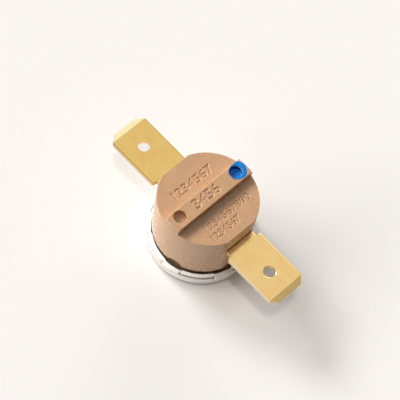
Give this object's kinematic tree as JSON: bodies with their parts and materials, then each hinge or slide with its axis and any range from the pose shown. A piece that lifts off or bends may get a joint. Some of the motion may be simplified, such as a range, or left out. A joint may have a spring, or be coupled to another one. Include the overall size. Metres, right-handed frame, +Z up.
{
  "type": "temperature limiter",
  "caption": "Disc temperature limiter: moulded switch housing with a rib on top, crimped into a shallow metal cup, with a flat blade terminal on each side.",
  "frame": {"origin": "centre of the cup's flat bottom, on the cup's axis", "axes": "+X along the blades towards the fixed contact's blade, +Y along the rib towards the painted recess, +Z up out of the cup"},
  "size_m": [0.0344, 0.016, 0.0138],
  "materials": {
    "housing_phenolic": "moulded phenolic, tan, dull with a faint sheen",
    "blade_brass": "rolled and stamped, satin",
    "cup_aluminium": "deep drawn, satin",
    "blue_paint": "glossy marking paint",
    "disc_steel": "rolled",
    "guide_ceramic": "unglazed",
    "arm_bronze": "rolled spring bronze",
    "contact_silver": "headed silver alloy"
  },
  "bodies": {
    "housing": {"body_housing": "housing_phenolic", "heat_cup": "cup_aluminium", "bimetal_disc": "disc_steel", "guide_plate": "guide_ceramic", "terminal_left": "blade_brass", "terminal_right": "blade_brass", "fixed_contact": "contact_silver", "arm_washer": "disc_steel", "arm_rivet": "blade_brass", "blue_mark": "blue_paint"},
    "pin": {"transfer_pin": "guide_ceramic"},
    "contact_arm": {"spring_arm": "arm_bronze", "moving_contact": "contact_silver"}
  },
  "joints": [
    {"name": "pin_slide", "type": "slide", "parent": "housing", "child": "pin", "axis": [0, 0, 1], "range_m": [0, 0.0003], "stiffness_N_per_m": 1500, "springref_m": -0.0003, "deforming": ["bimetal_disc"]},
    {"name": "contact_swing", "type": "hinge", "parent": "housing", "child": "contact_arm", "pos_m": [-0.0026, 0, 0.0096], "axis": [0, -1, 0], "range_deg": [0, 7], "deforming": ["spring_arm"]}
  ],
  "couplings": [
    {"joint": "contact_swing", "follows": "pin_slide", "rad_per_m": 384.6}
  ]
}
